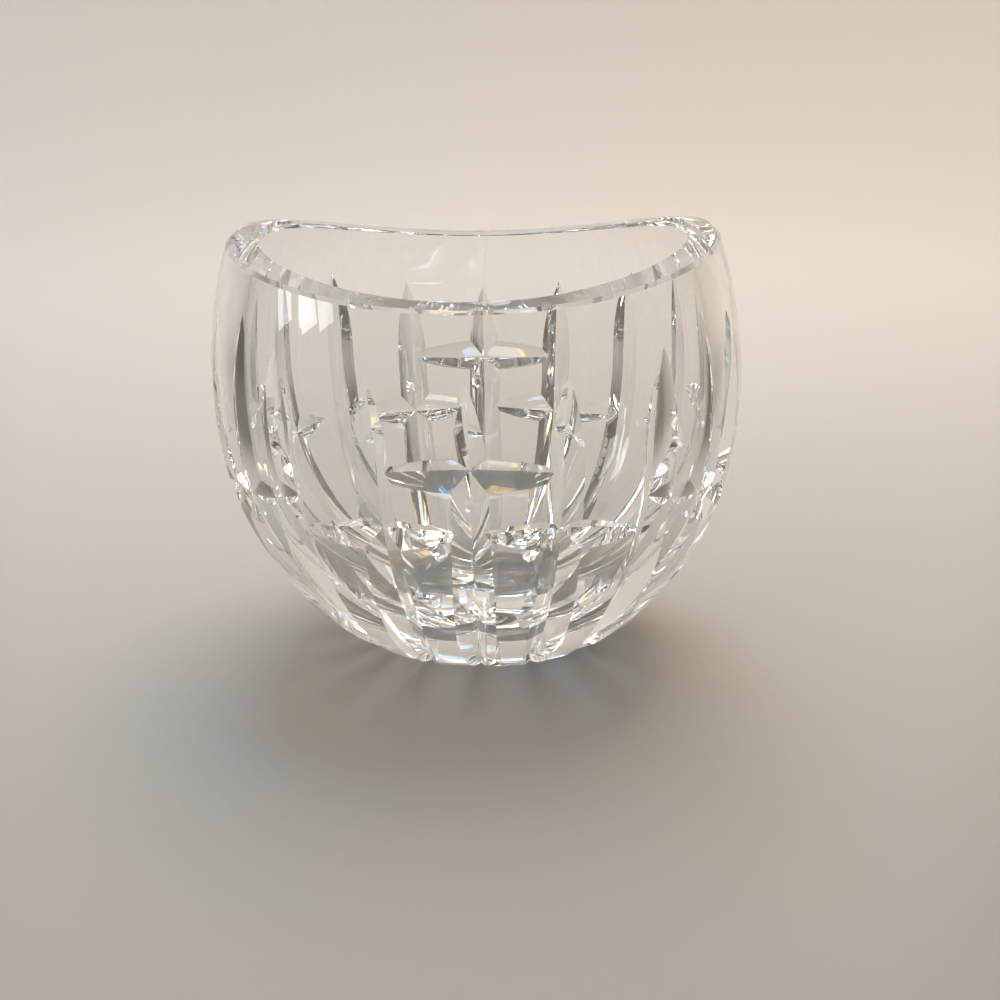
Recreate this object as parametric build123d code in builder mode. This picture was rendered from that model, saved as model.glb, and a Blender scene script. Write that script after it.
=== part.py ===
from build123d import *
from math import acos, asin, atan2, copysign, cos, degrees, pi, radians, sin, sqrt, tan
import os

# An oval rose bowl of clear cut glass: one blown piece, with a saddle-shaped mouth,
# upright mitre cuts all round and level mitre cuts across three of every four of them.
# The origin is the middle of the foot, X runs across the ends and -Y is the front.
# Lengths are in millimetres and angles in degrees.

# Outer form
body_width = 150.0
body_depth = 96.0
girth_height = 82.0
foot_width = 62.0
mouth_inset = 9.6
rim_height = 131.2
saddle_dip = 9.8
oval_power = 2.5

# Hollow, with a thinner wall at the front and back than at the ends
wall = 8.0
side_wall = 6.4
rim_wall = 8.6
floor_thickness = 17.0
floor_width = 46.0

# Ground rim, bevelled on both its edges, and bevelled foot
rim_fall = 6.0
rim_bevel = 0.8
foot_bevel = 0.8

# Mitre cuts, all made by one wheel with a pointed edge; the upright ones end higher towards the ends
wheel_radius = 150.0
mitre_angle = 105.0
upright_cuts = 16
plain_band = 42.9
tip_rise = 15.0
upright_depth = 3.8
middle_depth = 4.6
foot_depth = 3.0
foot_level = 3.0
cross_depth = 4.0
cross_drop = 2.4
cross_step = 18.5

# Counts that set how finely the curved walls and the rim are drawn
oval_steps = 12
half_sections = 5
saddle_steps = 12
halvings = 40
place_digits = 2

# Sizes that follow from those above
mouth_width = body_width - 2 * mouth_inset
mouth_depth = body_depth * mouth_width / body_width
cavity_width = body_width - 2 * wall
cavity_depth = body_depth - 2 * side_wall
cavity_mouth = mouth_width - 2 * rim_wall
spare_height = rim_wall + rim_bevel
edge_height = 3 * middle_depth
edge_half = edge_height * tan(radians(mitre_angle / 2))
foot_overrun = edge_height + foot_level
run_out = degrees(acos(1 - 2 * upright_depth / wheel_radius))
upright_top = rim_height - saddle_dip - plain_band
upright_depths = (foot_depth, middle_depth, upright_depth)
high_cross = girth_height - cross_drop
low_cross = high_cross - cross_step
cross_heights = (high_cross, low_cross, None, low_cross)
half_ends = ((-1, 0), (1, 0))


def oval_reach(angle, width, depth):
    """Distance from the axis to an oval of the given width and depth, at a plan angle."""
    across = abs(2 * cos(angle) / width) ** oval_power
    along = abs(2 * sin(angle) / depth) ** oval_power
    return (across + along) ** (-1 / oval_power)


def half_oval(width, depth):
    """Points of the oval's half, from the back round the left end to the front."""
    angles = [pi / 2 + pi * step / oval_steps for step in range(oval_steps + 1)]
    reaches = [oval_reach(angle, width, depth) for angle in angles]
    return [(reach * cos(angle), reach * sin(angle)) for reach, angle in zip(reaches, angles)]


def oval_facing(place):
    """Level direction in which the wall faces, at a point on the girth."""
    across = abs(2 * place.X / body_width) ** (oval_power - 1) / body_width
    along = abs(2 * place.Y / body_depth) ** (oval_power - 1) / body_depth
    return Vector(copysign(across, place.X), copysign(along, place.Y)).normalized()


def ovoid_levels(width, low_width, low_height, top_width):
    """Heights and scales of the level sections, from the low flat to just above the rim."""
    low_turn = asin(low_width / width)
    top_turn = asin(top_width / width)
    low_reach = (girth_height - low_height) / cos(low_turn)
    top_reach = (rim_height - girth_height) / cos(top_turn)
    end_turn = acos((rim_height + spare_height - girth_height) / top_reach)
    low_turns = [low_turn + (pi / 2 - low_turn) * step / half_sections for step in range(half_sections)]
    top_turns = [pi / 2 - (pi / 2 - end_turn) * step / half_sections for step in range(half_sections + 1)]
    lower = [(girth_height - low_reach * cos(turn), sin(turn)) for turn in low_turns]
    return lower + [(girth_height + top_reach * cos(turn), sin(turn)) for turn in top_turns]


def wall_point(start, inward, height):
    """Where a level line from a point on the girth, going inward, meets the outer wall at a height."""
    if height < girth_height:
        rise = (girth_height - height) / girth_height * cos(asin(foot_width / body_width))
    else:
        rise = (height - girth_height) / (rim_height - girth_height) * cos(asin(mouth_width / body_width))
    scale = sqrt(1 - rise**2)
    near, far = 0.0, start.length
    for _ in range(halvings):
        middle = (near + far) / 2
        place = start + inward * middle
        outside = place.length > scale * oval_reach(atan2(place.Y, place.X), body_width, body_depth)
        near, far = (middle, far) if outside else (near, middle)
    return Vector(start.X + inward.X * near, start.Y + inward.Y * near, height)


def saddle_height(x, y):
    """Height of the ground rim: it dips at the front and back, and falls outward by rim_fall."""
    across, along = abs(2 * x / mouth_width), abs(2 * y / mouth_depth)
    spread = (across**oval_power + along**oval_power) ** (2 / oval_power)
    fall = tan(radians(rim_fall)) * mouth_depth / 2 * (spread - 1) / 2
    return rim_height - saddle_dip + saddle_dip * across**2 * (2 - spread) - fall


# The hollow, as a solid to take out of the glass
with BuildPart() as cavity:
    for height, scale in ovoid_levels(cavity_width, floor_width, floor_thickness, cavity_mouth):
        with BuildSketch(Plane.XY.offset(height)):
            with BuildLine():
                Spline(half_oval(cavity_width * scale, cavity_depth * scale), tangents=half_ends)
                mirror(about=Plane.YZ)
            make_face()
    loft()

# What the ground rim leaves off the top of the blown form
saddle_shares = [step / saddle_steps - 1 / 2 for step in range(saddle_steps + 1)]
saddle_grid = [
    [(x, y, saddle_height(x, y)) for y in [body_depth * share for share in saddle_shares]]
    for x in [body_width * share for share in saddle_shares]
]
with BuildPart() as trimming:
    extrude(Face.make_surface_from_array_of_points(saddle_grid), amount=rim_height, dir=(0, 0, 1))

# The bowl: the blown form first, then the ground rim, then each upright cut and its level cut
with BuildPart() as rose_bowl:
    for height, scale in ovoid_levels(body_width, foot_width, 0.0, mouth_width):
        with BuildSketch(Plane.XY.offset(height)):
            with BuildLine():
                Spline(half_oval(body_width * scale, body_depth * scale), tangents=half_ends)
                mirror(about=Plane.YZ)
            make_face()
    loft()
    add(cavity.part, mode=Mode.SUBTRACT)
    add(trimming.part, mode=Mode.SUBTRACT)
    chamfer(rose_bowl.faces().sort_by(Axis.Z)[-1].edges(), rim_bevel)
    chamfer(rose_bowl.edges().group_by(Axis.Z)[0], foot_bevel)
    girth = Spline(half_oval(body_width, body_depth), tangents=half_ends, mode=Mode.PRIVATE)
    for cut in range(upright_cuts):
        place = girth @ (2 * cut / upright_cuts % 1)
        place = Vector(round(place.X, place_digits), round(place.Y, place_digits))
        place = place if 2 * cut < upright_cuts else -place
        facing = oval_facing(place)
        outward = (facing + place.normalized()).normalized()
        lean = degrees(atan2(outward.cross(facing).Z, outward.dot(facing)))
        upright = Plane(place, x_dir=outward, z_dir=outward.cross(Vector(0, 0, 1)))
        top_level = upright_top + tip_rise * (2 * place.X / body_width) ** 2
        levels = (foot_level, (foot_level + top_level) / 2, top_level)
        low, middle, top = [
            wall_point(place, -outward, level) - outward * depth for level, depth in zip(levels, upright_depths)
        ]
        run = ThreePointArc(low, middle, top, mode=Mode.PRIVATE)
        foot_end = low - (run % 0) * foot_overrun
        with BuildLine(upright):
            Line(foot_end, low)
            ThreePointArc(low, middle, top)
            JernArc(top, run % 1, wheel_radius, -run_out)
        with BuildSketch(Plane(foot_end, x_dir=upright.z_dir, z_dir=run % 0).rotated((0, 0, lean))):
            with BuildLine():
                Polyline((0, 0), (edge_half, edge_height), (-edge_half, edge_height), close=True)
            make_face()
        sweep(mode=Mode.SUBTRACT)
        cross_height = cross_heights[cut % len(cross_heights)]
        if cross_height:
            touch = wall_point(place, -outward, cross_height)
            above = wall_point(place, -outward, cross_height + cross_depth)
            up = (above - touch).normalized()
            along = facing.cross(up).normalized()
            away = up.cross(along)
            centre = touch + away * (wheel_radius - cross_depth)
            edge_back = wheel_radius - edge_height
            with BuildSketch(Plane(centre, x_dir=away, z_dir=along)):
                with BuildLine():
                    Polyline((wheel_radius, 0), (edge_back, edge_half), (edge_back, -edge_half), close=True)
                make_face()
            revolve(axis=Axis(centre, up), mode=Mode.SUBTRACT)

os.makedirs("parts", exist_ok=True)
rose_bowl.part.label = "rose_bowl"
export_step(rose_bowl.part, "parts/rose_bowl.step")
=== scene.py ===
"""An oval rose bowl of cut lead crystal, dressed around its CAD frame and set on a pale studio floor."""

from math import acos, asin, atan2, copysign, cos, pi, radians, sin, sqrt

import bpy
from bpy.props import FloatProperty, FloatVectorProperty, IntProperty, PointerProperty
from mathutils import Matrix, Quaternion, Vector


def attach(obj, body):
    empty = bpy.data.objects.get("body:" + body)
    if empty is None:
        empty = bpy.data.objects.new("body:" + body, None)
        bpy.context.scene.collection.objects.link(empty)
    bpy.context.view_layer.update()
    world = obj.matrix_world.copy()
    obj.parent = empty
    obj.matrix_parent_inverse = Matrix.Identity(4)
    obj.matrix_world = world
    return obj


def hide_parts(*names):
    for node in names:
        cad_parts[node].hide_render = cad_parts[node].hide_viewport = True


bl_info = {
    "name": "Cut Glass Rose Bowl",
    "version": (1, 0, 0),
    "blender": (4, 5, 0),
    "location": "View3D > Sidebar > Rose Bowl",
    "description": "Builds an oval rose bowl of cut lead crystal and the studio it stands in",
    "category": "Object",
}

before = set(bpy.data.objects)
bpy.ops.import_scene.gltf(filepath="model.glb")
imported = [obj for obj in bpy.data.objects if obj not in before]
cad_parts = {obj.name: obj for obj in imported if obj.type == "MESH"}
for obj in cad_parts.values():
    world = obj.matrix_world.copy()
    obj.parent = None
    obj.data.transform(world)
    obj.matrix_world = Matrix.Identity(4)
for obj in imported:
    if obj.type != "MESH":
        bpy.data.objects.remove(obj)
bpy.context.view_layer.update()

PIECE = "rose_bowl_glass"

# How finely the blown form is drawn, from the foot up the wall, over the rim and down the hollow
COLUMNS = 300
FOOT_ROWS, FOOT_BEVEL_ROWS, WALL_ROWS = 8, 1, 104
RIM_BEVEL_ROWS, BAND_ROWS = 2, 8
HOLLOW_ROWS, FLOOR_ROWS = 84, 10
MERGE_DISTANCE = 2e-6

# Powers that crowd the rows towards the foot and towards the floor of the hollow
WALL_EASING, HOLLOW_EASING = 1.3, 1.5

# Rounds that settle the height at which a wall meets the ground rim
RIM_ROUNDS = 4

# How finely the girth and the wheel's paths are drawn
GIRTH_STEPS = 4000
HALVINGS = 40
ARC_STEPS = 48
RUN_OUT_STEPS = 24

# Half of the wheel's turn that a level cut uses, which takes it clear of the wall at both ends
LEVEL_REACH = radians(36)

# A triangle in a circle of radius 1: its height, and half of one side
TRIANGLE_HEIGHT, TRIANGLE_HALF = 1.5, sin(pi / 3)

# What tells the ground rim from other glass: how squarely it faces up, how high it lies and how far out
RIM_FACING = (0.8, 0.95)
RIM_LOWEST = 0.1
RIM_REACH = 0.055

# Range of the noise that counts as scuffs on the foot, and the heights over which they end
SCUFF_RANGE = (0.45, 0.7)
WEAR_HEIGHTS = (0.0002, 0.0011)

# How finely the cove is drawn
COVE_COLUMNS, COVE_FLOOR_ROWS, COVE_BEND_ROWS = 96, 4, 16

# Where the cove's paint goes from deep to pale, along Y: painted shade, darker towards the camera as though
# less light fell there
PALE_RANGE = (-0.75, 0.55)

# Nearer than SIDE_RANGE along Y, only a wedge of floor that widens to the back is pale, and the floor beside
# it is painted shade
WEDGE_HALF, WEDGE_SPREAD = 0.165, 0.445
WEDGE_EDGE = (-0.02, 0.14)
SIDE_RANGE = (-0.15, 0.50)

# Where the sky goes from its dim side to its bright one, along Y on a sphere of radius 1
SKY_RANGE = (-0.5, 0.3)

# The overhead soft box with its fringes, and the two strip lights that slant like a window's panes
KEY_PLACE, KEY_AIM = Vector((0.1, 0.45, 1.3)), Vector((0.0, 0.2, 0.0))
KEY_WIDTH, KEY_DEPTH, FRINGE_WIDTH = 0.70, 0.45, 0.09
STRIP_PLACES = {
    "left_strip_light": Vector((-0.553, -0.490, 0.256)),
    "right_strip_light": Vector((-0.632, -0.363, 0.256)),
}
STRIP_AIM, STRIP_SLANT = Vector((0.0, 0.0, 0.09)), radians(25)
STRIP_WIDTH, STRIP_HEIGHT = 0.09, 0.26
WHITE = (1.0, 1.0, 1.0)

SENSOR_WIDTH = 36.0
NEAREST_SEEN = 0.01


def number(name, default, description, **kind):
    """A plain number for the sidebar."""
    return FloatProperty(name=name, description=description, default=default, **kind)


def length(name, default, description):
    """A size in metres for the sidebar."""
    return number(name, default, description, min=0.0, unit="LENGTH", precision=4)


def turn(name, default, description):
    """An angle for the sidebar, given in degrees."""
    return number(name, radians(default), description, subtype="ANGLE")


def linear(code):
    """Turns an sRGB hex value into linear red, green and blue."""
    shares = [int(code[place:place + 2], 16) / 255 for place in (1, 3, 5)]
    return [share / 12.92 if share <= 0.04045 else ((share + 0.055) / 1.055) ** 2.4 for share in shares]


def paint(name, default, description):
    """A colour for the sidebar, given as an sRGB hex value."""
    return FloatVectorProperty(
        name=name, description=description, default=linear(default), subtype="COLOR", size=3
    )


class BlownForm(bpy.types.PropertyGroup):
    """Sizes of the blown form and its ground rim, which the geometry nodes take by name."""

    width: length("Width", 0.150, "Across the ends, at the girth")
    depth: length("Depth", 0.096, "From front to back, at the girth")
    girth_height: length("Girth Height", 0.082, "Height of the widest level")
    foot_width: length("Foot Width", 0.062, "Across the flat foot")
    mouth_width: length("Mouth Width", 0.1308, "Across the outer edge of the rim")
    mouth_depth: length("Mouth Depth", 0.083712, "From front to back over the rim")
    rim_height: length("Rim Height", 0.1312, "Height of the rim at the ends")
    saddle_dip: length("Saddle Dip", 0.0098, "How much lower the rim is at the front and back")
    rim_fall: turn("Rim Fall", 6.0, "Outward fall of the ground rim")
    oval_power: number("Oval Power", 2.5, "2 is an ellipse, more is squarer")
    hollow_width: length("Hollow Width", 0.134, "Across the hollow, at the girth")
    hollow_depth: length("Hollow Depth", 0.0832, "From front to back of the hollow, at the girth")
    hollow_mouth: length("Hollow Mouth", 0.1136, "Across the inner edge of the rim")
    floor_height: length("Floor Height", 0.017, "Thickness of the glass under the hollow")
    floor_width: length("Floor Width", 0.046, "Across the flat of the hollow's floor")
    rim_bevel: length("Rim Bevel", 0.0008, "Bevel on both edges of the rim")
    foot_bevel: length("Foot Bevel", 0.0008, "Bevel round the foot")
    bevel_share: number("Bevel Share", 0.093, "Bevel over the rim's width")


class MitreCuts(bpy.types.PropertyGroup):
    """Sizes of the cuts and of the pointed wheel that grinds them."""

    count: IntProperty(
        name="Upright Cuts", description="Cuts round the bowl, a multiple of four", default=16, min=4
    )
    wheel_radius: length("Wheel Radius", 0.150, "From the wheel's axle to its pointed edge")
    mitre_angle: turn("Mitre Angle", 105.0, "Angle between the two sides of a cut")
    edge_height: length("Edge Height", 0.0138, "How much of the wheel's edge is drawn")
    foot_level: length("Foot Level", 0.003, "Height where the upright cuts start to bend")
    foot_depth: length("Foot Depth", 0.003, "Depth of the upright cuts at the foot")
    middle_depth: length("Middle Depth", 0.0046, "Depth of the upright cuts half way up")
    top_level: length("Top Level", 0.0785, "Height where the wheel leaves the upright cuts at the front")
    tip_rise: length("Tip Rise", 0.015, "How much higher it leaves them at the ends")
    top_depth: length("Top Depth", 0.0038, "Depth of the upright cuts there")
    cross_depth: length("Level Depth", 0.004, "Depth of the level cuts")
    high_level: length("High Level", 0.0796, "Height of the level cuts on the front, back and ends")
    low_level: length("Low Level", 0.0611, "Height of the level cuts either side of those")
    sharp_angle: turn("Sharp Angle", 26.0, "Edges that turn more than this stay crisp")


class CrystalLook(bpy.types.PropertyGroup):
    """How the glass looks."""

    tint: paint("Tint", "#FBFCFC", "Body colour of the crystal")
    roughness: number("Polish", 0.0, "Roughness of the polished glass", min=0.0)
    worn_roughness: number("Wear", 0.15, "Roughness of the foot's worst scuffs", min=0.0)
    scuff: length("Scuff", 0.004, "Spacing of the scuffs on the foot")
    index: number("Index", 1.545, "Refractive index of lead crystal", min=1.0)
    ripple: length("Ripple", 0.014, "Spacing of the faint waves that polishing leaves")
    ripple_height: length("Ripple Height", 0.00002, "Height of those waves")
    streak: length("Streak", 0.0028, "Spacing of the marks that grinding leaves across the rim")
    streak_height: length("Streak Height", 0.00006, "Height of those marks")


class StudioLook(bpy.types.PropertyGroup):
    """Floor, light and camera."""

    back_tint: paint("Back", "#E2DDD5", "Cove paint behind the bowl")
    # The front paint is painted shade: the cove is painted darker behind the camera, as though less light
    # fell there
    front_painted_shade: paint("Front", "#6B665F", "Cove paint behind the camera")
    sky_tint: paint("Sky", "#F4F1EC", "Soft light through the open top, from behind the bowl")
    dusk_tint: paint("Dusk", "#A09A92", "The same from the camera's side")
    sky_strength: number("Sky Light", 1.25, "Strength of that light")
    key_power: number("Key", 4.6, "Overhead soft box", subtype="POWER")
    strip_power: number("Strips", 0.5, "Each strip light on the left", subtype="POWER")
    fringe_power: number("Fringes", 1.7, "Each tinted edge of the soft box", subtype="POWER")
    warm_tint: paint("Warm Fringe", "#FFC850", "Tint of one long and one short edge")
    cool_tint: paint("Cool Fringe", "#5AB4FF", "Tint of the other two edges")
    cove_radius: length("Cove Radius", 1.1, "From the bowl to the wall of the cove")
    cove_bend: length("Cove Bend", 0.42, "Radius of the bend from the floor to the wall")
    cove_height: length("Cove Height", 0.9, "Height of the wall")
    air_gap: length("Air Gap", 0.0004, "Air under the foot, which stands on its high points")
    bounces: IntProperty(name="Bounces", description="Times light may turn inside the glass", default=32)
    camera_place: FloatVectorProperty(
        name="Camera", description="Where the camera stands", default=(0.01617, -0.27439, 0.18964),
        subtype="TRANSLATION", unit="LENGTH",
    )
    camera_turn: turn("Camera Turn", 2.101, "Turn about the upright axis")
    camera_pitch: turn("Camera Pitch", 62.771, "Up from looking straight down")
    camera_roll: turn("Camera Roll", -0.877, "Turn about the line of sight")
    lens: number("Lens", 36.0, "Focal length on a 36 mm sensor", unit="CAMERA")


def add_node(tree, kind, inputs=None, **settings):
    """Adds one node with its settings, and links or sets its inputs by name or place."""
    node = tree.nodes.new(kind)
    for key, value in settings.items():
        setattr(node, key, value)
    for key, value in (inputs or {}).items():
        if isinstance(value, bpy.types.NodeSocket):
            tree.links.new(value, node.inputs[key])
        else:
            node.inputs[key].default_value = value
    return node


def work_out(tree, known, steps):
    """Adds a chain of sums: each step names its result, its operation and the terms it takes."""
    known = dict(known)
    for result, operation, *terms in steps:
        sockets = {place: known.get(term, term) for place, term in enumerate(terms)}
        known[result] = add_node(tree, "ShaderNodeMath", sockets, operation=operation).outputs[0]
    return known


# An oval level section that shrinks below and above the girth on two elliptic arcs
WALL_INPUTS = (
    "Angle", "Height", "Width", "Depth", "Low Width", "Low Height", "Top Width",
    "Girth Height", "Rim Height", "Oval Power",
)
WALL_STEPS = (
    ("cosine", "COSINE", "Angle"),
    ("sine", "SINE", "Angle"),
    ("across", "DIVIDE", "cosine", "Width"),
    ("across", "ABSOLUTE", "across"),
    ("across", "POWER", "across", "Oval Power"),
    ("along", "DIVIDE", "sine", "Depth"),
    ("along", "ABSOLUTE", "along"),
    ("along", "POWER", "along", "Oval Power"),
    ("both", "ADD", "across", "along"),
    ("root", "DIVIDE", -1.0, "Oval Power"),
    ("girth", "POWER", "both", "root"),
    ("reach", "MULTIPLY", "girth", 0.5),
    ("low share", "DIVIDE", "Low Width", "Width"),
    ("low square", "MULTIPLY", "low share", "low share"),
    ("low rest", "SUBTRACT", 1.0, "low square"),
    ("low cosine", "SQRT", "low rest"),
    ("low fall", "SUBTRACT", "Girth Height", "Height"),
    ("low span", "SUBTRACT", "Girth Height", "Low Height"),
    ("low part", "DIVIDE", "low fall", "low span"),
    ("low rise", "MULTIPLY", "low part", "low cosine"),
    ("top share", "DIVIDE", "Top Width", "Width"),
    ("top square", "MULTIPLY", "top share", "top share"),
    ("top rest", "SUBTRACT", 1.0, "top square"),
    ("top cosine", "SQRT", "top rest"),
    ("top climb", "SUBTRACT", "Height", "Girth Height"),
    ("top span", "SUBTRACT", "Rim Height", "Girth Height"),
    ("top part", "DIVIDE", "top climb", "top span"),
    ("top rise", "MULTIPLY", "top part", "top cosine"),
    ("rise", "MAXIMUM", "low rise", "top rise"),
    ("square", "MULTIPLY", "rise", "rise"),
    ("rest", "SUBTRACT", 1.0, "square"),
    ("scale", "SQRT", "rest"),
    ("level", "MULTIPLY", "reach", "scale"),
    ("x", "MULTIPLY", "level", "cosine"),
    ("y", "MULTIPLY", "level", "sine"),
)
WALL_PLACE = ("x", "y", "Height")

# The ground rim: a saddle that dips at the front and back and falls outward
RIM_SIZES = ("Mouth Width", "Mouth Depth", "Rim Height", "Saddle Dip", "Rim Fall", "Oval Power")
RIM_STEPS = (
    ("x share", "DIVIDE", "X", "Mouth Width"),
    ("x size", "ABSOLUTE", "x share"),
    ("across", "MULTIPLY", "x size", 2.0),
    ("y share", "DIVIDE", "Y", "Mouth Depth"),
    ("y size", "ABSOLUTE", "y share"),
    ("along", "MULTIPLY", "y size", 2.0),
    ("across power", "POWER", "across", "Oval Power"),
    ("along power", "POWER", "along", "Oval Power"),
    ("both", "ADD", "across power", "along power"),
    ("root", "DIVIDE", 2.0, "Oval Power"),
    ("spread", "POWER", "both", "root"),
    ("room", "SUBTRACT", 2.0, "spread"),
    ("square", "MULTIPLY", "across", "across"),
    ("lift", "MULTIPLY", "square", "room"),
    ("low", "SUBTRACT", 1.0, "lift"),
    ("dip", "MULTIPLY", "Saddle Dip", "low"),
    ("slope", "TANGENT", "Rim Fall"),
    ("out", "SUBTRACT", "spread", 1.0),
    ("quarter", "MULTIPLY", "Mouth Depth", 0.25),
    ("steep", "MULTIPLY", "slope", "quarter"),
    ("fall", "MULTIPLY", "out", "steep"),
    ("dipped", "SUBTRACT", "Rim Height", "dip"),
    ("height", "SUBTRACT", "dipped", "fall"),
)
RIM_PLACE = ("X", "Y", "height")


def rule_tree(name, inputs, steps, ends):
    """A node group that works out a place from named numbers; ends names its X, Y and Z."""
    tree = bpy.data.node_groups.new(name, "GeometryNodeTree")
    for label in inputs:
        tree.interface.new_socket(label, in_out="INPUT", socket_type="NodeSocketFloat")
    tree.interface.new_socket("Place", in_out="OUTPUT", socket_type="NodeSocketVector")
    start = add_node(tree, "NodeGroupInput")
    known = work_out(tree, {label: start.outputs[label] for label in inputs}, steps)
    place = add_node(tree, "ShaderNodeCombineXYZ", {axis: known[end] for axis, end in zip("XYZ", ends)})
    add_node(tree, "NodeGroupOutput", {"Place": place.outputs[0]})
    return tree


def blown_form(tree, size):
    """The bowl before it is cut, as rows of quads that close at the foot and at the hollow's floor."""
    wall_rule = rule_tree("oval_wall", WALL_INPUTS, WALL_STEPS, WALL_PLACE)
    rim_rule = rule_tree("ground_rim", ("X", "Y", *RIM_SIZES), RIM_STEPS, RIM_PLACE)
    shared = {label: size[label] for label in ("Girth Height", "Rim Height", "Oval Power")}
    outer = {
        "Width": size["Width"], "Depth": size["Depth"], "Low Width": size["Foot Width"],
        "Low Height": 0.0, "Top Width": size["Mouth Width"], **shared,
    }
    inner = {
        "Width": size["Hollow Width"], "Depth": size["Hollow Depth"], "Low Width": size["Floor Width"],
        "Low Height": size["Floor Height"], "Top Width": size["Hollow Mouth"], **shared,
    }
    rim = {label: size[label] for label in RIM_SIZES}

    # Each run of rows is a unit grid: across it lies the plan angle, and up it the share of the run
    corner = add_node(tree, "GeometryNodeInputPosition").outputs[0]
    across, up, _ = add_node(tree, "ShaderNodeSeparateXYZ", {0: corner}).outputs
    known = work_out(tree, {"x": across, "y": up}, (
        ("around", "ADD", "x", 0.5),
        ("angle", "MULTIPLY", "around", 2 * pi),
        ("share", "ADD", "y", 0.5),
        ("rest", "SUBTRACT", 1.0, "share"),
        ("eased rest", "POWER", "rest", HOLLOW_EASING),
        ("eased", "SUBTRACT", 1.0, "eased rest"),
        ("from foot", "POWER", "share", WALL_EASING),
    ))

    def wall(sides, height):
        """A point on the outer or inner wall, at a height."""
        inputs = {"Angle": known["angle"], "Height": height, **sides}
        return add_node(tree, "GeometryNodeGroup", inputs, node_tree=wall_rule).outputs[0]

    def ground(place):
        """The point of the ground rim above or below a place."""
        parts = add_node(tree, "ShaderNodeSeparateXYZ", {0: place}).outputs
        inputs = {"X": parts["X"], "Y": parts["Y"], **rim}
        return add_node(tree, "GeometryNodeGroup", inputs, node_tree=rim_rule).outputs[0]

    def rim_edge(sides):
        """Where a wall meets the ground rim, and the height of that point."""
        place = wall(sides, size["Rim Height"])
        for _ in range(RIM_ROUNDS):
            level = add_node(tree, "ShaderNodeSeparateXYZ", {0: ground(place)}).outputs["Z"]
            place = wall(sides, level)
        return place, level

    out_edge, out_level = rim_edge(outer)
    in_edge, in_level = rim_edge(inner)

    def band(part):
        """A point on the ground rim, part of the way from its outer edge to its inner one."""
        inputs = {"Factor": part, 4: out_edge, 5: in_edge}
        return ground(add_node(tree, "ShaderNodeMix", inputs, data_type="VECTOR").outputs[1])

    used = ("Rim Bevel", "Foot Bevel", "Floor Height", "Bevel Share", "Foot Width")
    known.update((label, size[label]) for label in used)
    known = work_out(tree, {"out": out_level, "in": in_level, **known}, (
        ("wall top", "SUBTRACT", "out", "Rim Bevel"),
        ("hollow top", "SUBTRACT", "in", "Rim Bevel"),
        ("wall run", "SUBTRACT", "wall top", "Foot Bevel"),
        ("wall level", "MULTIPLY_ADD", "wall run", "from foot", "Foot Bevel"),
        ("hollow run", "SUBTRACT", "Floor Height", "hollow top"),
        ("hollow level", "MULTIPLY_ADD", "hollow run", "eased", "hollow top"),
        ("inner share", "SUBTRACT", 1.0, "Bevel Share"),
        ("band run", "SUBTRACT", "inner share", "Bevel Share"),
        ("band share", "MULTIPLY_ADD", "band run", "share", "Bevel Share"),
        ("bevel part", "DIVIDE", "Foot Bevel", "Foot Width"),
        ("foot scale", "MULTIPLY_ADD", "bevel part", -2.0, 1.0),
    ))
    foot_middle = (0.0, 0.0, 0.0)
    foot_ring = add_node(
        tree, "ShaderNodeVectorMath", {0: wall(outer, 0.0), "Scale": known["foot scale"]}, operation="SCALE"
    ).outputs[0]
    floor_middle = add_node(tree, "ShaderNodeCombineXYZ", {"Z": size["Floor Height"]}).outputs[0]

    # A run with two places goes straight from the first to the second
    runs = (
        (FOOT_ROWS, foot_middle, foot_ring),
        (FOOT_BEVEL_ROWS, foot_ring, wall(outer, size["Foot Bevel"])),
        (WALL_ROWS, wall(outer, known["wall level"])),
        (RIM_BEVEL_ROWS, wall(outer, known["wall top"]), band(size["Bevel Share"])),
        (BAND_ROWS, band(known["band share"])),
        (RIM_BEVEL_ROWS, band(known["inner share"]), wall(inner, known["hollow top"])),
        (HOLLOW_ROWS, wall(inner, known["hollow level"])),
        (FLOOR_ROWS, wall(inner, size["Floor Height"]), floor_middle),
    )
    join = add_node(tree, "GeometryNodeJoinGeometry")
    for rows, place, *end in runs:
        if end:
            inputs = {"Factor": known["share"], 4: place, 5: end[0]}
            place = add_node(tree, "ShaderNodeMix", inputs, data_type="VECTOR").outputs[1]
        grid = add_node(tree, "GeometryNodeMeshGrid", {
            "Size X": 1.0, "Size Y": 1.0, "Vertices X": COLUMNS + 1, "Vertices Y": rows + 1,
        })
        run = {"Geometry": grid.outputs["Mesh"], "Position": place}
        tree.links.new(add_node(tree, "GeometryNodeSetPosition", run).outputs[0], join.inputs[0])
    closed = {"Geometry": join.outputs[0], "Distance": MERGE_DISTANCE}
    return add_node(tree, "GeometryNodeMergeByDistance", closed).outputs[0]


def wheel_edge(tree, size):
    """The wheel's pointed edge as a triangle, with its tip on the guide and its sides opening outward."""
    edge = work_out(tree, {label: size[label] for label in ("Edge Height", "Mitre Angle")}, (
        ("tall", "DIVIDE", "Edge Height", TRIANGLE_HEIGHT),
        ("half", "MULTIPLY", "Mitre Angle", 0.5),
        ("slope", "TANGENT", "half"),
        ("side", "MULTIPLY", "Edge Height", "slope"),
        ("wide", "DIVIDE", "side", TRIANGLE_HALF),
    ))
    three = add_node(tree, "GeometryNodeCurvePrimitiveCircle", {"Resolution": 3, "Radius": 1.0})
    turned = add_node(tree, "GeometryNodeTransform", {
        "Geometry": three.outputs["Curve"], "Rotation": (0.0, 0.0, pi),
    })
    scale = add_node(tree, "ShaderNodeCombineXYZ", {"X": edge["tall"], "Y": edge["wide"], "Z": 1.0})
    shift = add_node(tree, "ShaderNodeCombineXYZ", {"X": edge["tall"]})
    return add_node(tree, "GeometryNodeTransform", {
        "Geometry": turned.outputs[0], "Scale": scale.outputs[0], "Translation": shift.outputs[0],
    }).outputs[0]


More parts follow.
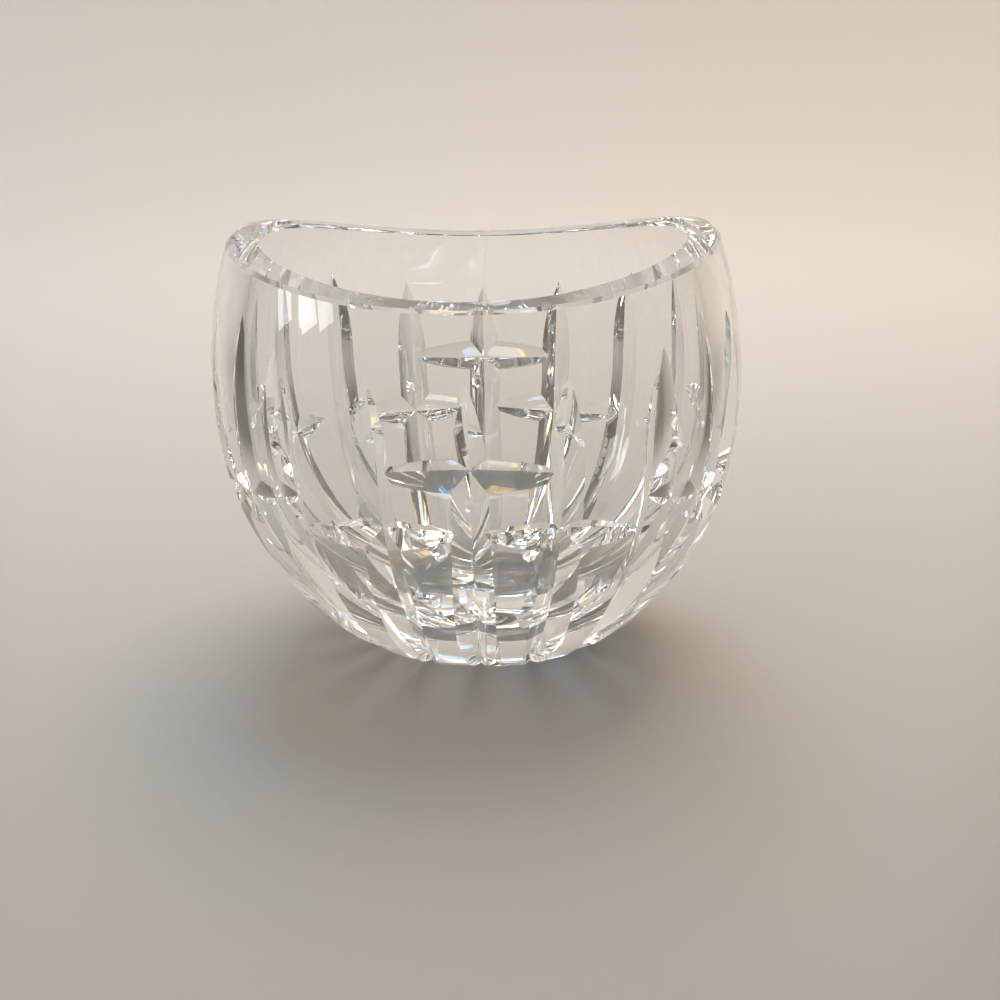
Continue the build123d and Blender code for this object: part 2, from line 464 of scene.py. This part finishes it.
def ground_glass(tree, lines, blown, edge):
    """The blown form with a cut ground out of it along each line, one line in each pass."""
    curves = add_node(tree, "GeometryNodeMeshToCurve", {"Mesh": lines}).outputs[0]
    count = add_node(tree, "GeometryNodeAttributeDomainSize", {"Geometry": curves}, component="CURVE")
    facing = add_node(tree, "GeometryNodeInputNamedAttribute", {"Name": "facing"}, data_type="FLOAT_VECTOR")
    guides = add_node(
        tree, "GeometryNodeSetCurveNormal", {"Curve": curves, "Normal": facing.outputs[0]}, mode="FREE"
    )
    start = add_node(tree, "GeometryNodeRepeatInput")
    end = add_node(tree, "GeometryNodeRepeatOutput")
    start.pair_with_output(end)
    tree.links.new(count.outputs["Spline Count"], start.inputs["Iterations"])
    tree.links.new(blown, start.inputs["Geometry"])
    own = add_node(tree, "GeometryNodeInputIndex")
    same = add_node(
        tree, "FunctionNodeCompare", {2: own.outputs[0], 3: start.outputs["Iteration"]},
        data_type="INT", operation="EQUAL",
    )
    guide = add_node(
        tree, "GeometryNodeSeparateGeometry",
        {"Geometry": guides.outputs[0], "Selection": same.outputs[0]}, domain="CURVE",
    )
    cutter = add_node(tree, "GeometryNodeCurveToMesh", {
        "Curve": guide.outputs[0], "Profile Curve": edge, "Fill Caps": True,
    })
    left = add_node(
        tree, "GeometryNodeMeshBoolean",
        {"Mesh 1": start.outputs["Geometry"], "Mesh 2": cutter.outputs[0]},
        operation="DIFFERENCE", solver="MANIFOLD",
    )
    tree.links.new(left.outputs[0], end.inputs["Geometry"])
    return end.outputs[0]


def glass_tree(form, cuts, crystal):
    """The tree for the whole bowl, and the value of each of its inputs by identifier."""
    tree = bpy.data.node_groups.new("cut_glass_bowl", "GeometryNodeTree")
    tree.is_modifier = True
    tree.interface.new_socket("Geometry", in_out="INPUT", socket_type="NodeSocketGeometry")
    settings = {}
    for group in (form, cuts):
        for name in group.__annotations__:
            value = getattr(group, name)
            kind = "NodeSocketInt" if isinstance(value, int) else "NodeSocketFloat"
            label = group.bl_rna.properties[name].name
            socket = tree.interface.new_socket(label, in_out="INPUT", socket_type=kind)
            settings[socket.identifier] = value
    tree.interface.new_socket("Geometry", in_out="OUTPUT", socket_type="NodeSocketGeometry")
    size = add_node(tree, "NodeGroupInput").outputs
    glass = ground_glass(tree, size["Geometry"], blown_form(tree, size), wheel_edge(tree, size))

    # Polished walls shade smoothly, and the cuts keep their crisp edges
    bend = add_node(tree, "GeometryNodeInputMeshEdgeAngle").outputs[0]
    crisp = add_node(tree, "FunctionNodeCompare", {0: bend, 1: size["Sharp Angle"]}, operation="GREATER_THAN")
    smooth = add_node(
        tree, "GeometryNodeSetShadeSmooth", {"Geometry": glass, "Shade Smooth": True}, domain="FACE"
    )
    polished = add_node(
        tree, "GeometryNodeSetShadeSmooth",
        {"Geometry": smooth.outputs[0], "Selection": crisp.outputs[0], "Shade Smooth": False}, domain="EDGE",
    )
    real = add_node(tree, "GeometryNodeRealizeInstances", {"Geometry": polished.outputs[0]})
    done = add_node(tree, "GeometryNodeSetMaterial", {"Geometry": real.outputs[0], "Material": crystal})
    add_node(tree, "NodeGroupOutput", {"Geometry": done.outputs[0]})
    return tree, settings


def oval_reach(form, angle):
    """Distance from the axis to the girth at a plan angle."""
    across = abs(2 * cos(angle) / form.width) ** form.oval_power
    along = abs(2 * sin(angle) / form.depth) ** form.oval_power
    return (across + along) ** (-1 / form.oval_power)


def girth_places(form, count):
    """Points at equal spaces round the girth, from the back by the left end to the front and on."""
    angles = [pi / 2 + 2 * pi * step / GIRTH_STEPS for step in range(GIRTH_STEPS + 1)]
    points = [Vector((cos(angle), sin(angle), 0.0)) * oval_reach(form, angle) for angle in angles]
    runs = [0.0]
    for first, last in zip(points, points[1:]):
        runs.append(runs[-1] + (last - first).length)
    places, step = [], 0
    for cut in range(count):
        goal = runs[-1] * cut / count
        while runs[step + 1] < goal:
            step += 1
        part = (goal - runs[step]) / (runs[step + 1] - runs[step])
        places.append(points[step].lerp(points[step + 1], part))
    return places


def wall_facing(form, place):
    """Level direction in which the wall faces, at a point on the girth."""
    across = abs(2 * place.x / form.width) ** (form.oval_power - 1) / form.width
    along = abs(2 * place.y / form.depth) ** (form.oval_power - 1) / form.depth
    return Vector((copysign(across, place.x), copysign(along, place.y), 0.0)).normalized()


def wall_point(form, place, outward, height):
    """Where a level line from a point on the girth, going inward, meets the outer wall at a height."""
    if height < form.girth_height:
        rise = (form.girth_height - height) / form.girth_height * cos(asin(form.foot_width / form.width))
    else:
        climb = (height - form.girth_height) / (form.rim_height - form.girth_height)
        rise = climb * cos(asin(form.mouth_width / form.width))
    scale = sqrt(1 - rise**2)
    near, far = 0.0, place.length
    for _ in range(HALVINGS):
        middle = (near + far) / 2
        point = place - outward * middle
        outside = point.length > scale * oval_reach(form, atan2(point.y, point.x))
        near, far = (middle, far) if outside else (near, middle)
    return place - outward * near + Vector((0.0, 0.0, height))


def arc(centre, start, axis, sweep, steps):
    """Points from a start round an axis through a centre."""
    spoke = start - centre
    return [centre + Quaternion(axis, sweep * step / steps) @ spoke for step in range(steps + 1)]


def upright_guide(form, cuts, place, outward, facing):
    """The wheel's path up one upright cut, and the way the cut faces at each point of it."""
    top_level = cuts.top_level + cuts.tip_rise * (2 * place.x / form.width) ** 2
    levels = (cuts.foot_level, (cuts.foot_level + top_level) / 2, top_level)
    depths = (cuts.foot_depth, cuts.middle_depth, cuts.top_depth)
    low, middle, top = [
        wall_point(form, place, outward, level) - outward * depth for level, depth in zip(levels, depths)
    ]

    # The centre of the arc through those three points
    first, last = middle - low, top - low
    over = first.cross(last)
    lift = last.length_squared * over.cross(first) + first.length_squared * last.cross(over)
    centre = low + lift / (2 * over.length_squared)

    # Straight in under the foot, up along the arc, and out of the glass on the wheel's own radius
    axis = (low - centre).cross(top - centre).normalized()
    run = arc(centre, low, axis, (low - centre).angle(top - centre), ARC_STEPS)
    ahead = axis.cross(low - centre).normalized()
    tail = low - ahead * (cuts.edge_height + cuts.foot_level)
    hub = top + (top - centre).normalized() * cuts.wheel_radius
    leave = acos(1 - 2 * cuts.top_depth / cuts.wheel_radius)
    run_out = arc(hub, top, -axis, leave, RUN_OUT_STEPS)[1:]
    normals = [(low - centre).normalized()] + [(point - centre).normalized() for point in run]
    normals += [(hub - point).normalized() for point in run_out]
    lean = atan2(outward.cross(facing).z, outward.dot(facing))
    leaning = [Quaternion(axis.cross(normal), lean) @ normal for normal in normals]
    return [tail] + run + run_out, leaning


def level_guide(form, cuts, place, outward, facing, height):
    """The wheel's edge where it is set into the wall for one level cut, and the way to its axle."""
    touch = wall_point(form, place, outward, height)
    above = wall_point(form, place, outward, height + cuts.cross_depth)
    up = (above - touch).normalized()
    along = facing.cross(up).normalized()
    away = up.cross(along)
    hub = touch + away * (cuts.wheel_radius - cuts.cross_depth)
    start = hub - Quaternion(up, -LEVEL_REACH) @ away * cuts.wheel_radius
    points = arc(hub, start, up, 2 * LEVEL_REACH, ARC_STEPS)
    return points, [(hub - point).normalized() for point in points]


def cut_guides(form, cuts):
    """A mesh of open lines, one for each cut, that carries the way each cut faces."""
    lines = []
    levels = (cuts.high_level, cuts.low_level, None, cuts.low_level)
    for cut, place in enumerate(girth_places(form, cuts.count)):
        facing = wall_facing(form, place)
        outward = (facing + place.normalized()).normalized()
        lines.append(upright_guide(form, cuts, place, outward, facing))
        level = levels[cut % len(levels)]
        if level:
            lines.append(level_guide(form, cuts, place, outward, facing, level))
    points, normals, edges = [], [], []
    for line, line_normals in lines:
        edges += [(len(points) + step, len(points) + step + 1) for step in range(len(line) - 1)]
        points += line
        normals += line_normals
    mesh = bpy.data.meshes.new("cut_guides")
    mesh.from_pydata(points, edges, [])
    field = mesh.attributes.new("facing", "FLOAT_VECTOR", "POINT")
    field.data.foreach_set("vector", [share for normal in normals for share in normal])
    return mesh


def new_material(name):
    """A material with an empty node tree."""
    material = bpy.data.materials.new(name)
    material.use_nodes = True
    material.node_tree.nodes.clear()
    return material


def crystal_material(look):
    """Lead crystal, blown, cut on a wheel and polished: clear and heavy, with bright crisp edges.
    Polishing leaves faint waves that make reflections swim a little, grinding leaves fine marks
    across the rim that break up its shine, and standing scuffs the foot."""
    material = new_material("lead_crystal")
    tree = material.node_tree
    coordinates = add_node(tree, "ShaderNodeTexCoord").outputs
    place = coordinates["Object"]
    spot = add_node(tree, "ShaderNodeSeparateXYZ", {0: place}).outputs

    # Waves all over, and marks that run across the rim, so that they change only with the plan angle
    waves = add_node(tree, "ShaderNodeTexNoise", {"Vector": place, "Scale": 1 / look.ripple, "Detail": 1.0})
    around = add_node(tree, "ShaderNodeMath", {0: spot["Y"], 1: spot["X"]}, operation="ARCTAN2")
    streaks = add_node(
        tree, "ShaderNodeTexNoise",
        {"W": around.outputs[0], "Scale": RIM_REACH / look.streak, "Detail": 2.0}, noise_dimensions="1D",
    )
    facing = add_node(tree, "ShaderNodeSeparateXYZ", {0: coordinates["Normal"]}).outputs["Z"]
    level = add_node(tree, "ShaderNodeMapRange", {
        "Value": facing, "From Min": RIM_FACING[0], "From Max": RIM_FACING[1],
    })
    relief = work_out(tree, {
        "waves": waves.outputs["Fac"], "streaks": streaks.outputs["Fac"],
        "level": level.outputs["Result"], "z": spot["Z"],
    }, (
        ("high", "GREATER_THAN", "z", RIM_LOWEST),
        ("rim", "MULTIPLY", "level", "high"),
        ("streaks", "MULTIPLY", "streaks", "rim"),
        ("waves", "MULTIPLY", "waves", look.ripple_height),
        ("relief", "MULTIPLY_ADD", "streaks", look.streak_height, "waves"),
    ))["relief"]
    bump = add_node(tree, "ShaderNodeBump", {"Height": relief, "Strength": 1.0, "Distance": 1.0})

    # Scuffs on the foot, gone where its bevel ends
    scuffs = add_node(tree, "ShaderNodeTexNoise", {"Vector": place, "Scale": 1 / look.scuff, "Detail": 4.0})
    wear = add_node(tree, "ShaderNodeMapRange", {
        "Value": scuffs.outputs["Fac"], "From Min": SCUFF_RANGE[0], "From Max": SCUFF_RANGE[1],
        "To Min": look.roughness, "To Max": look.worn_roughness,
    })
    worn = add_node(tree, "ShaderNodeMapRange", {
        "Value": spot["Z"], "From Min": WEAR_HEIGHTS[0], "From Max": WEAR_HEIGHTS[1],
        "To Min": wear.outputs["Result"], "To Max": look.roughness,
    })
    glass = add_node(tree, "ShaderNodeBsdfPrincipled", {
        "Base Color": (*look.tint, 1.0), "Roughness": worn.outputs["Result"], "IOR": look.index,
        "Transmission Weight": 1.0, "Normal": bump.outputs["Normal"],
    })
    add_node(tree, "ShaderNodeOutputMaterial", {"Surface": glass.outputs[0]})
    return material


class ROSEBOWL_OT_cut_glass(bpy.types.Operator):
    """Blow the oval form, grind its rim and cut it, as one piece of crystal"""

    bl_idname = "rosebowl.cut_glass"
    bl_label = "Cut Glass Bowl"

    def execute(self, context):
        scene = context.scene
        form, cuts = scene.rose_bowl_form, scene.rose_bowl_cuts
        guides = bpy.data.objects.new("cut_guides", cut_guides(form, cuts))
        scene.collection.objects.link(guides)
        tree, settings = glass_tree(form, cuts, crystal_material(scene.rose_bowl_crystal))
        modifier = guides.modifiers.new("cut_glass", "NODES")
        modifier.node_group = tree
        for identifier, value in settings.items():
            modifier[identifier] = value
        context.view_layer.update()
        shown = guides.evaluated_get(context.evaluated_depsgraph_get())
        mesh = bpy.data.meshes.new_from_object(shown)
        if not mesh.polygons:
            raise RuntimeError("the geometry nodes gave no glass")
        mesh.name = PIECE
        bpy.data.objects.remove(guides)
        piece = bpy.data.objects.new(PIECE, mesh)
        scene.collection.objects.link(piece)
        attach(piece, "root")
        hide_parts("rose_bowl")
        return {"FINISHED"}


def cove_mesh(look):
    """A round floor that bends up into a wall, with no line between them."""
    flat = look.cove_radius - look.cove_bend
    bends = [pi / 2 * step / COVE_BEND_ROWS for step in range(1, COVE_BEND_ROWS + 1)]
    profile = [(flat * (step + 1) / COVE_FLOOR_ROWS, 0.0) for step in range(COVE_FLOOR_ROWS)]
    profile += [(flat + look.cove_bend * sin(bend), look.cove_bend * (1 - cos(bend))) for bend in bends]
    profile.append((look.cove_radius, look.cove_height))
    points = [(0.0, 0.0, -look.air_gap)]
    for radius, height in profile:
        for column in range(COVE_COLUMNS):
            angle = 2 * pi * column / COVE_COLUMNS
            points.append((radius * cos(angle), radius * sin(angle), height - look.air_gap))
    around = [(column, (column + 1) % COVE_COLUMNS) for column in range(COVE_COLUMNS)]
    faces = [(0, 1 + first, 1 + last) for first, last in around]
    for row in range(len(profile) - 1):
        low, high = 1 + row * COVE_COLUMNS, 1 + (row + 1) * COVE_COLUMNS
        faces += [(low + first, high + first, high + last, low + last) for first, last in around]
    mesh = bpy.data.meshes.new("studio_cove")
    mesh.from_pydata(points, [], faces)
    mesh.polygons.foreach_set("use_smooth", [True] * len(mesh.polygons))
    return mesh


def cove_paint_with_painted_shade(look):
    """Matt emulsion on board, pale behind the bowl and deeper beside it and behind the camera, so that
    clear glass has something to bend into its cuts."""
    material = new_material("matt_paint_with_painted_shade")
    tree = material.node_tree
    place = add_node(tree, "ShaderNodeTexCoord").outputs["Object"]
    parts = add_node(tree, "ShaderNodeSeparateXYZ", {0: place}).outputs
    known = work_out(tree, {"x": parts["X"], "y": parts["Y"]}, (
        ("wide", "ABSOLUTE", "x"),
        ("open", "MULTIPLY_ADD", "y", WEDGE_SPREAD, WEDGE_HALF),
        ("aside", "SUBTRACT", "wide", "open"),
    ))
    ramps = {"back": ("y", PALE_RANGE), "far": ("y", SIDE_RANGE), "beside": ("aside", WEDGE_EDGE)}
    for name, (value, (low, high)) in ramps.items():
        inputs = {"Value": known[value], "From Min": low, "From Max": high}
        ramp = add_node(tree, "ShaderNodeMapRange", inputs, interpolation_type="SMOOTHSTEP")
        known[name] = ramp.outputs["Result"]
    # The share of pale paint; the rest is painted shade, deep towards the camera and beside the bowl
    share = work_out(tree, known, (
        ("near", "SUBTRACT", 1.0, "far"),
        ("deep", "MULTIPLY", "near", "beside"),
        ("pale", "SUBTRACT", 1.0, "deep"),
        ("share", "MULTIPLY", "pale", "back"),
    ))["share"]
    tints = {"Factor": share, 6: (*look.front_painted_shade, 1.0), 7: (*look.back_tint, 1.0)}
    colour = add_node(tree, "ShaderNodeMix", tints, data_type="RGBA")
    coat = add_node(tree, "ShaderNodeBsdfPrincipled", {
        "Base Color": colour.outputs[2], "Roughness": 0.7, "Specular IOR Level": 0.2,
    })
    add_node(tree, "ShaderNodeOutputMaterial", {"Surface": coat.outputs[0]})
    return material


def studio_sky(look):
    """Soft light that falls through the open top of the cove, dimmer on the camera's side."""
    world = bpy.data.worlds.new("studio_sky")
    world.use_nodes = True
    tree = world.node_tree
    way = add_node(tree, "ShaderNodeTexCoord").outputs["Generated"]
    ahead = add_node(tree, "ShaderNodeSeparateXYZ", {0: way}).outputs["Y"]
    inputs = {"Value": ahead, "From Min": SKY_RANGE[0], "From Max": SKY_RANGE[1]}
    share = add_node(tree, "ShaderNodeMapRange", inputs, interpolation_type="SMOOTHSTEP").outputs["Result"]
    tints = {"Factor": share, 6: (*look.dusk_tint, 1.0), 7: (*look.sky_tint, 1.0)}
    tint = add_node(tree, "ShaderNodeMix", tints, data_type="RGBA")
    sky = tree.nodes["Background"]
    tree.links.new(tint.outputs[2], sky.inputs["Color"])
    sky.inputs["Strength"].default_value = look.sky_strength
    return world


def studio_lamps(look):
    """Each lamp's name, place, aim, width, height, power and tint. Cut crystal splits light into colours,
    and this glass bends all colours alike, so the soft box has tinted edges that the cuts pick up."""
    down = (KEY_AIM - KEY_PLACE).to_track_quat("-Z", "Y")
    lamps = [("overhead_soft_box", KEY_PLACE, down, KEY_WIDTH, KEY_DEPTH, look.key_power, WHITE)]
    for side, tone, tint in ((-1, "warm", look.warm_tint), (1, "cool", look.cool_tint)):
        end = KEY_PLACE + down @ Vector((side * (KEY_WIDTH + FRINGE_WIDTH) / 2, 0.0, 0.0))
        long = KEY_PLACE + down @ Vector((0.0, side * (KEY_DEPTH + FRINGE_WIDTH) / 2, 0.0))
        lamps.append((f"{tone}_short_fringe", end, down, FRINGE_WIDTH, KEY_DEPTH, look.fringe_power, tint))
        lamps.append((f"{tone}_long_fringe", long, down, KEY_WIDTH, FRINGE_WIDTH, look.fringe_power, tint))
    for name, place in STRIP_PLACES.items():
        aim = (STRIP_AIM - place).to_track_quat("-Z", "Y") @ Quaternion((0.0, 0.0, 1.0), STRIP_SLANT)
        lamps.append((name, place, aim, STRIP_WIDTH, STRIP_HEIGHT, look.strip_power, WHITE))
    return lamps


class ROSEBOWL_OT_studio(bpy.types.Operator):
    """Lay the floor, set the soft boxes and place the camera"""

    bl_idname = "rosebowl.studio"
    bl_label = "Studio"

    def execute(self, context):
        scene, look = context.scene, context.scene.rose_bowl_studio
        scene.view_settings.view_transform = "Standard"
        for kind in ("max_bounces", "transmission_bounces", "glossy_bounces"):
            setattr(scene.cycles, kind, look.bounces)
        scene.world = studio_sky(look)

        cove = bpy.data.objects.new("studio_cove", cove_mesh(look))
        cove.data.materials.append(cove_paint_with_painted_shade(look))
        scene.collection.objects.link(cove)

        for name, place, aim, width, height, power, tint in studio_lamps(look):
            lamp = bpy.data.lights.new(name, "AREA")
            lamp.shape, lamp.size, lamp.size_y = "RECTANGLE", width, height
            lamp.energy, lamp.color = power, tint
            box = bpy.data.objects.new(name, lamp)
            box.location = place
            box.visible_camera = False
            box.rotation_mode = "QUATERNION"
            box.rotation_quaternion = aim
            scene.collection.objects.link(box)

        lens = bpy.data.cameras.new("camera")
        lens.lens, lens.sensor_width, lens.clip_start = look.lens, SENSOR_WIDTH, NEAREST_SEEN
        camera = bpy.data.objects.new("camera", lens)
        camera.matrix_world = (
            Matrix.Translation(look.camera_place) @ Matrix.Rotation(look.camera_turn, 4, "Z")
            @ Matrix.Rotation(look.camera_pitch, 4, "X") @ Matrix.Rotation(look.camera_roll, 4, "Z")
        )
        scene.collection.objects.link(camera)
        scene.camera = camera
        return {"FINISHED"}


class ROSEBOWL_PT_sidebar(bpy.types.Panel):
    """The bowl's steps and sizes"""

    bl_label = "Rose Bowl"
    bl_idname = "ROSEBOWL_PT_sidebar"
    bl_space_type = "VIEW_3D"
    bl_region_type = "UI"
    bl_category = "Rose Bowl"

    def draw(self, context):
        layout = self.layout
        for step in STEPS:
            layout.operator(step.bl_idname)
        for name, group in GROUPS.items():
            column = layout.column(heading=group.__doc__)
            for size in group.__annotations__:
                column.prop(getattr(context.scene, name), size)


STEPS = (ROSEBOWL_OT_cut_glass, ROSEBOWL_OT_studio)
GROUPS = {
    "rose_bowl_form": BlownForm,
    "rose_bowl_cuts": MitreCuts,
    "rose_bowl_crystal": CrystalLook,
    "rose_bowl_studio": StudioLook,
}
CLASSES = (*GROUPS.values(), *STEPS, ROSEBOWL_PT_sidebar)


def register():
    """Makes the steps, sizes and panel known to Blender."""
    for cls in CLASSES:
        bpy.utils.register_class(cls)
    for name, group in GROUPS.items():
        setattr(bpy.types.Scene, name, PointerProperty(type=group))


def unregister():
    """Takes them away again."""
    for name in GROUPS:
        delattr(bpy.types.Scene, name)
    for cls in reversed(CLASSES):
        bpy.utils.unregister_class(cls)


def main():
    """Runs every step in order and writes the boxes of the CAD model and of the dressed bowl."""
    register()
    bpy.ops.rosebowl.cut_glass()
    bpy.ops.rosebowl.studio()


if __name__ == "__main__":
    main()
